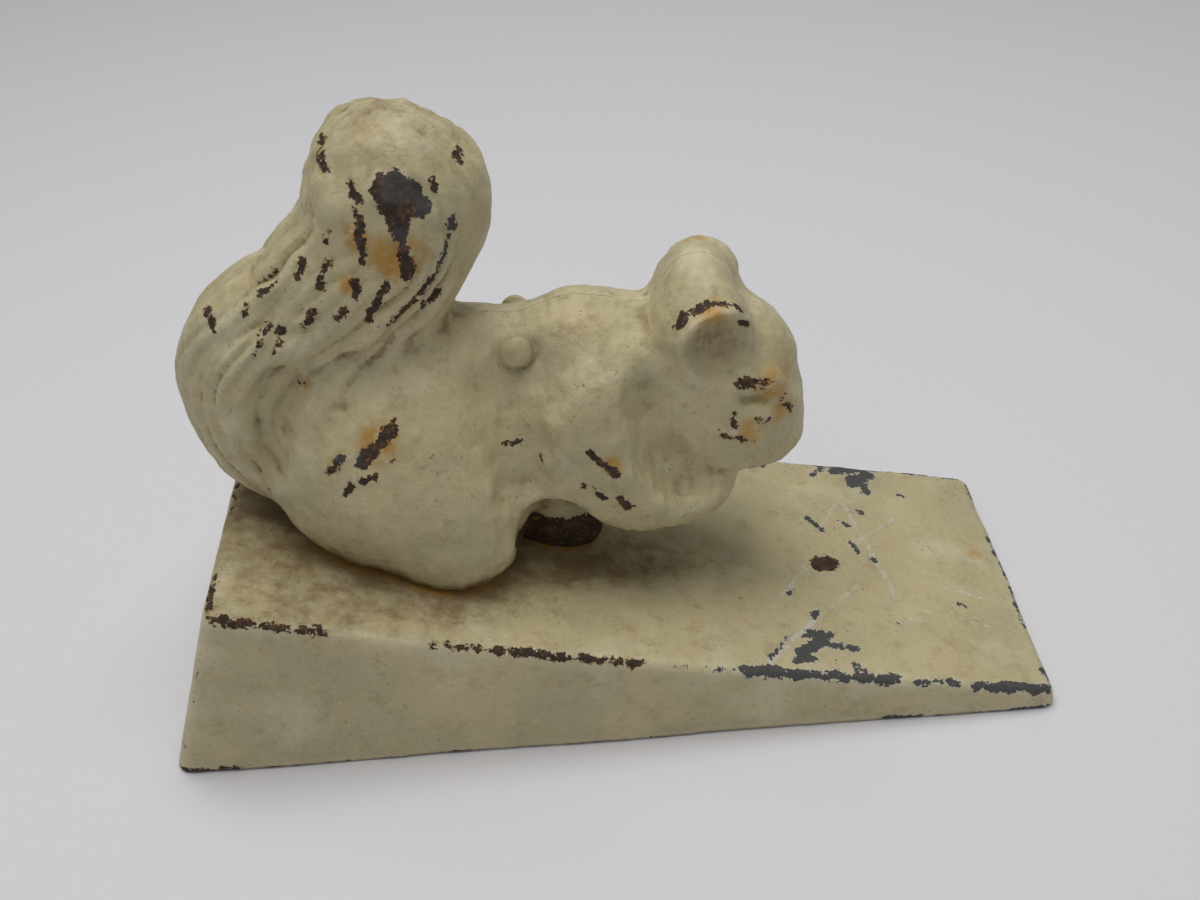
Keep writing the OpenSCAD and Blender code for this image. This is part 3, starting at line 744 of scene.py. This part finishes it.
class Shader:
    """Builds one material, node by node. Places are in millimetres."""

    def __init__(self, name):
        self.material = bpy.data.materials.new(name)
        self.material.use_nodes = True
        self.tree = self.material.node_tree
        self.tree.nodes.clear()
        place = self.node("ShaderNodeTexCoord").outputs["Object"]
        self.place = self.vector("MULTIPLY", place, (1 / MM, 1 / MM, 1 / MM))

    def node(self, kind, inputs=None, **settings):
        """A node with its inputs linked or set"""
        node = self.tree.nodes.new(kind)
        for key, value in settings.items():
            setattr(node, key, value)
        for key, value in (inputs or {}).items():
            if isinstance(value, bpy.types.NodeSocket):
                self.tree.links.new(value, node.inputs[key])
            else:
                node.inputs[key].default_value = value
        return node

    def vector(self, operation, a, b):
        """Arithmetic on two vectors"""
        return self.node("ShaderNodeVectorMath", {0: a, 1: b}, operation=operation).outputs[0]

    def noise(self, size, detail=3.0, stretch=(1, 1, 1), shift=0.0, roughness=0.55):
        """Noise between 0 and 1, mostly near a half, with features of the given size"""
        place = self.vector("MULTIPLY", self.place, tuple(s / size for s in stretch))
        place = self.vector("ADD", place, (shift, shift * 0.7, -shift))
        inputs = {"Vector": place, "Scale": 1.0, "Detail": detail, "Roughness": roughness}
        return self.node("ShaderNodeTexNoise", inputs).outputs[0]

    def mark(self, name):
        """One of the marks stored on the mesh's points"""
        return self.node("ShaderNodeAttribute", attribute_name=name).outputs["Fac"]

    def math(self, operation, a, b=0.0):
        """Arithmetic on two numbers"""
        return self.node("ShaderNodeMath", {0: a, 1: b}, operation=operation).outputs[0]

    def between(self, value, low, high, to_low=0.0, to_high=1.0):
        """A value turned into a soft step"""
        inputs = {"Value": value, "From Min": low, "From Max": high, "To Min": to_low, "To Max": to_high}
        return self.node("ShaderNodeMapRange", inputs, interpolation_type="SMOOTHSTEP").outputs[0]

    def mix(self, share, a, b):
        """One colour turning into another"""
        node = self.node("ShaderNodeMix", data_type="RGBA")
        for key, value in ((0, share), (6, a), (7, b)):
            if isinstance(value, bpy.types.NodeSocket):
                self.tree.links.new(value, node.inputs[key])
            elif key == 0:
                node.inputs[key].default_value = value
            else:
                node.inputs[key].default_value = (*value, 1)
        return node.outputs[2]

    def surface(self, colour, roughness, metallic, height, depth, level=0.5):
        """Joins it all. The height runs from 0 to 1 over a depth in mm, and level is the gloss"""
        inputs = {"Height": height, "Strength": 1.0, "Distance": depth * MM}
        bump = self.node("ShaderNodeBump", inputs).outputs[0]
        inputs = {"Base Color": colour, "Roughness": roughness, "Metallic": metallic, "Normal": bump,
                  "Specular IOR Level": level}
        shader = self.node("ShaderNodeBsdfPrincipled", inputs).outputs[0]
        self.node("ShaderNodeOutputMaterial", {"Surface": shader})
        return self.material


CREAM = (0.54, 0.475, 0.275)
CREAM_PALE = (0.66, 0.60, 0.41)
CREAM_WARM = (0.56, 0.45, 0.25)
CREAM_DULL = (0.44, 0.40, 0.235)
# Brown for dirt, also used for painted shade
DIRT_AND_SHADE = (0.20, 0.135, 0.058)
DIRT_DARK = (0.05, 0.032, 0.018)
RUST = (0.23, 0.10, 0.028)
RUST_STAIN = (0.45, 0.235, 0.03)
RUST_DARK = (0.075, 0.041, 0.021)
IRON = (0.032, 0.023, 0.015)
IRON_GREY = (0.120, 0.120, 0.115)
IRON_GREY_DARK = (0.066, 0.066, 0.06325)
PRIMER = (0.60, 0.60, 0.56)
STEEL = (0.30, 0.29, 0.27)
STEEL_DARK = (0.16, 0.15, 0.14)
# Height of the paint's bump in millimetres, and its gloss
PAINT_DEPTH, PAINT_GLOSS = 0.5, 0.4


def rusty_iron(shader, grey):
    """Colour of bare cast iron, brown with rust or slate grey"""
    patches = shader.between(shader.noise(2.2, 5), 0.42, 0.66)
    brown = shader.mix(patches, IRON, RUST_DARK)
    brown = shader.mix(shader.between(shader.noise(1.1, 4, shift=9), 0.54, 0.72), brown, RUST)
    scuffed = shader.mix(shader.noise(0.8, 4, shift=4), IRON_GREY, IRON_GREY_DARK)
    return shader.mix(grey, brown, scuffed)


def painted_iron(name):
    """Old cream paint on cast iron, chipped, stained and dirty, and darkened with painted shade"""
    shader = Shader(name)
    chip, relief_mark, grime_and_shade = shader.mark("chip"), shader.mark("relief"), shader.mark("grime_and_shade")
    # Cream paint in uneven shades, paler where it is raised
    mottle = shader.between(shader.noise(24, 4), 0.3, 0.7)
    clouds = shader.between(shader.noise(8, 5, shift=3), 0.42, 0.68)
    fine = shader.noise(1.3, 6, shift=7)
    grain = shader.noise(0.35, 3, shift=2)
    paint = shader.mix(mottle, CREAM_DULL, CREAM)
    paint = shader.mix(shader.math("MULTIPLY", clouds, 0.45), paint, CREAM_WARM)
    pale = shader.between(shader.noise(13, 5, shift=12), 0.5, 0.72)
    paint = shader.mix(shader.math("MULTIPLY", pale, 0.5), paint, CREAM_PALE)
    raised = shader.between(relief_mark, 0.02, 0.22)
    paint = shader.mix(shader.math("MULTIPLY", raised, 0.35), paint, CREAM_PALE)
    # Dirt in the hollows and in a thin film, dirt and painted shade from the mesh's marks, and fine specks
    sunk = shader.between(relief_mark, -0.03, -0.25)
    film = shader.between(shader.noise(6, 8, shift=17, roughness=0.72), 0.46, 0.68, 0.0, 0.45)
    dirt_and_shade = shader.math("ADD", shader.math("MULTIPLY", sunk, 0.6), film)
    patchy = shader.between(shader.noise(5.5, 7, shift=22, roughness=0.65), 0.25, 0.75, 0.45, 1.25)
    # The mesh's mark adds dirt and painted shade, in patches
    dirt_and_shade = shader.math("ADD", dirt_and_shade, shader.math("MULTIPLY", grime_and_shade, patchy))
    paint = shader.mix(shader.between(dirt_and_shade, 0.0, 1.25, 0.0, 0.92), paint, DIRT_AND_SHADE)
    paint = shader.mix(shader.between(fine, 0.5, 0.8, 0.0, 0.22), paint, DIRT_AND_SHADE)
    paint = shader.mix(shader.between(grain, 0.66, 0.74, 0.0, 0.55), paint, DIRT_DARK)
    specks = shader.math("MULTIPLY", shader.between(shader.noise(0.9, 2, shift=51), 0.64, 0.70),
                         shader.between(shader.noise(9, 3, shift=52), 0.45, 0.65))
    paint = shader.mix(shader.math("MULTIPLY", specks, 0.7), paint, DIRT_AND_SHADE)
    # Pale rubs and rust stains
    rub = shader.math("ADD", shader.mark("rub"), shader.between(fine, 0.2, 0.8, -0.25, 0.12))
    paint = shader.mix(shader.between(rub, 0.42, 0.56, 0.0, 0.6), paint, PRIMER)
    patches = shader.between(shader.noise(2.6, 5, shift=31), 0.22, 0.55)
    stain = shader.math("MULTIPLY", shader.mark("stain"), patches)
    paint = shader.mix(shader.between(stain, 0.05, 0.95, 0.0, 0.9), paint, RUST_STAIN)
    # Ragged chips down to the iron, with a thin rim
    ragged = shader.math("ADD", shader.between(shader.noise(2.4, 5, shift=41), 0.2, 0.8, -0.24, 0.19),
                         shader.between(shader.noise(0.7, 3, shift=43), 0.25, 0.75, -0.10, 0.10))
    edge = shader.math("ADD", chip, ragged)
    bare = shader.between(edge, 0.50, 0.54)
    rim = shader.between(edge, 0.42, 0.50)
    rim_colour = shader.mix(shader.mark("grey"), RUST, PRIMER)
    paint = shader.mix(shader.math("MULTIPLY", rim, 0.5), paint, rim_colour)
    colour = shader.mix(bare, paint, rusty_iron(shader, shader.mark("grey")))
    # Roughness, metal and bump
    rough = shader.between(fine, 0.3, 0.7, 0.40, 0.56)
    rough = shader.math("ADD", rough, shader.math("MULTIPLY", shader.math("ADD", bare, dirt_and_shade), 0.30))
    metal = shader.math("MULTIPLY", shader.math("MULTIPLY", bare, shader.mark("grey")), 0.3)
    film_height = shader.math("MULTIPLY", shader.math("SUBTRACT", 1.0, bare), 0.55)
    height = shader.math("ADD", film_height, shader.math("MULTIPLY", fine, 0.30))
    height = shader.math("ADD", height, shader.math("MULTIPLY", grain, 0.12))
    height = shader.math("ADD", height, shader.math("MULTIPLY", shader.noise(3.2, 4, shift=61), 0.7))
    return shader.surface(colour, rough, metal, height, PAINT_DEPTH, PAINT_GLOSS)


def worn_steel(name, shift):
    """Bright steel gone dull, with rust in the hollows"""
    shader = Shader(name)
    rust = shader.between(shader.noise(2.0, 5, shift=shift), 0.42, 0.62)
    fine = shader.noise(0.5, 4, stretch=(1, 1, 4), shift=shift)
    steel = shader.mix(fine, STEEL, STEEL_DARK)
    brown = shader.mix(shader.noise(0.9, 4, shift=shift + 5), RUST_DARK, RUST)
    colour = shader.mix(rust, steel, brown)
    rough = shader.between(rust, 0.0, 1.0, 0.38, 0.85)
    metal = shader.between(rust, 0.0, 1.0, 0.9, 0.1)
    return shader.surface(colour, rough, metal, shader.math("ADD", rust, fine), 0.08)


FLOOR_GREY = (0.735, 0.73, 0.755)
FLOOR_PALE = (0.755, 0.75, 0.775)


def paper(name):
    """Plain pale floor"""
    shader = Shader(name)
    grain = shader.noise(3.0, 3)
    colour = shader.mix(grain, FLOOR_GREY, FLOOR_PALE)
    return shader.surface(colour, shader.between(grain, 0, 1, 0.85, 0.95), 0.0, grain, 0.02, 0.2)


# ---- Pieces ----

def make_half(name, side):
    """One half casting: sampled on its own side of the parting plane, then turned over if need be"""
    # The grid's first layer lies half a step past the plane, and the pegs reach further past it
    reach = PEG_LENGTH + 1 if side < 0 else 1
    start = -CASTING_STEP * (math.ceil(reach / CASTING_STEP) - 0.5)
    # A box round the half casting, from its seat
    low, high = (-54, start, -12), (86, 29, 104.5)
    values, origin = sampled(lambda p: half_casting(p, side), low, high, CASTING_STEP)
    points, faces = surface_net(values, origin, CASTING_STEP)
    points[:, 1] = np.where(np.abs(points[:, 1]) < CASTING_STEP / 2, 0, points[:, 1])
    if side < 0:
        points[:, 1] *= -1
        faces = faces[:, ::-1]
    points += SEAT
    piece = casting_object(name, points, faces, half_marks(points, faces, side))
    piece.data.materials.append(casting_paint)
    return piece


def make_wedge():
    """The hollow wedge"""
    low, high = WEDGE_LOW - 2, WEDGE_HIGH + 2
    values, origin = sampled(wedge_casting, low, high, WEDGE_STEP)
    points, faces = surface_net(values, origin, WEDGE_STEP)
    points[:, 2] = np.maximum(points[:, 2], 0)
    piece = casting_object("wedge_casting", points, faces, wedge_marks(points, faces))
    piece.data.materials.append(painted_iron("wedge_paint"))
    return piece


def make_rivet():
    """A round-head rivet, turned about its axis, with hammered heads"""
    reach, seat = RIVET_HIGH[1], RIVET_SEAT
    radius = (RIVET_HIGH[0] - RIVET_LOW[0]) / 2 - RIVET_WEAR
    dome = [(radius * math.cos(t), seat + (reach - seat) * math.sin(t))
            for t in np.linspace(0, math.pi / 2, DOME_RINGS)]
    profile = [*dome[::-1], (radius - 0.1, seat - 0.15), (PEG_RADIUS, seat - 0.2)]
    profile += [(PEG_RADIUS, y) for y in np.linspace(seat - 1, 0, 8)]
    profile = profile[1:] + [(r, -y) for r, y in profile[-2:0:-1]]
    around = RIVET_SIDES
    points = [(0, reach, 0)]
    for r, y in profile:
        for step in range(around):
            turn = 2 * math.pi * step / around
            dent = 1 + 0.05 * math.sin(3 * turn + y) * (abs(y) > seat - 0.2)
            points.append((r * dent * math.cos(turn), y, r * dent * math.sin(turn)))
    points.append((0, -reach, 0))
    faces = []
    last = len(points) - 1
    for step in range(around):
        beside = (step + 1) % around
        faces.append((0, 1 + beside, 1 + step))
        for ring in range(len(profile) - 1):
            a, b = 1 + ring * around + step, 1 + ring * around + beside
            faces.append((a, b, b + around, a + around))
        a, b = last - around + step, last - around + beside
        faces.append((a, b, last))
    mesh = bpy.data.meshes.new("rivet")
    mesh.from_pydata([((x + RIVET_X) * MM, y * MM, (z + RIVET_Z) * MM) for x, y, z in points], [], faces)
    mesh.polygons.foreach_set("use_smooth", np.ones(len(faces), bool))
    mesh.update()
    piece = bpy.data.objects.new("rivet", mesh)
    bpy.context.scene.collection.objects.link(piece)
    mesh.materials.append(casting_paint)
    return piece


# ---- Camera, floor and light ----

# Aim and distance in millimetres, angles in degrees
CAMERA_AIM = np.array([-0.4, 0, 52.3])
CAMERA_DISTANCE, CAMERA_LENS = 316.7, 42.0
CAMERA_AZIMUTH, CAMERA_ELEVATION, CAMERA_ROLL = map(math.radians, (-1.5, 37.08, -2.73))
# Half the floor's side in metres, and how bright the sky is
FLOOR_REACH = 5.0
SKY_COLOUR, SKY_STRENGTH = (0.97, 0.97, 1.0, 1), 0.25


def make_camera():
    """The camera, looking down on the right side"""
    flat = math.cos(CAMERA_ELEVATION)
    back = Vector((math.sin(CAMERA_AZIMUTH) * flat,
                   -math.cos(CAMERA_AZIMUTH) * flat,
                   math.sin(CAMERA_ELEVATION)))
    level = Vector((0, 0, 1)).cross(back).normalized()
    upright = back.cross(level)
    right = math.cos(CAMERA_ROLL) * level + math.sin(CAMERA_ROLL) * upright
    up = math.cos(CAMERA_ROLL) * upright - math.sin(CAMERA_ROLL) * level
    place = (Vector(CAMERA_AIM) + back * CAMERA_DISTANCE) * MM
    camera = bpy.data.cameras.new("camera")
    camera.lens, camera.sensor_width, camera.clip_start = CAMERA_LENS, 36.0, 0.01
    item = bpy.data.objects.new("camera", camera)
    item.matrix_world = Matrix.Translation(place) @ Matrix((right, up, back)).transposed().to_4x4()
    bpy.context.scene.collection.objects.link(item)
    bpy.context.scene.camera = item


def make_light(name, place, size, power, colour):
    """A soft square light aimed at the object"""
    light = bpy.data.lights.new(name, "AREA")
    light.size, light.energy, light.color = size, power, colour
    item = bpy.data.objects.new(name, light)
    item.location = place
    item.rotation_euler = (Vector((0, 0, 0.04)) - Vector(place)).to_track_quat("-Z", "Y").to_euler()
    bpy.context.scene.collection.objects.link(item)


def make_studio():
    """Floor, lights and the sky that fills the shadows"""
    corners = [(x * FLOOR_REACH, y * FLOOR_REACH, 0) for x, y in ((-1, -1), (1, -1), (1, 1), (-1, 1))]
    mesh = bpy.data.meshes.new("floor")
    mesh.from_pydata(corners, [], [(0, 1, 2, 3)])
    mesh.materials.append(paper("floor_paper"))
    floor = bpy.data.objects.new("floor", mesh)
    bpy.context.scene.collection.objects.link(floor)
    # Places and sizes in metres, powers in watts
    make_light("overhead", (-0.04, 0.02, 0.84), 0.64, 4.7, (1.0, 0.99, 0.97))
    make_light("fill", (-0.50, -0.90, 0.90), 0.60, 0.4, (0.97, 0.98, 1.0))
    world = bpy.data.worlds.new("studio")
    world.use_nodes = True
    background = world.node_tree.nodes["Background"]
    background.inputs["Color"].default_value = SKY_COLOUR
    background.inputs["Strength"].default_value = SKY_STRENGTH
    bpy.context.scene.world = world


make_camera()
make_studio()
bpy.context.scene.view_settings.view_transform = "Standard"

casting_paint = painted_iron("casting_paint")
wedge = make_wedge()
right_half = make_half("right_half", -1)
left_half = make_half("left_half", 1)
rivet = make_rivet()

for piece, node, slot in ((wedge, "wedge_base", "painted_wedge"),
                          (right_half, "squirrel_right_half", "painted_casting"),
                          (left_half, "squirrel_left_half", "painted_casting"),
                          (rivet, "flank_rivet", "painted_rivet")):
    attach(piece, "root")
    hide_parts(node)

FASTENERS = ("base_screw_left", "base_screw_right", "base_washer_left", "base_washer_right")
for index, node in enumerate(FASTENERS):
    steel = worn_steel(node + "_steel", 3.0 * index)
    for material_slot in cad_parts[node].material_slots:
        material_slot.material = steel
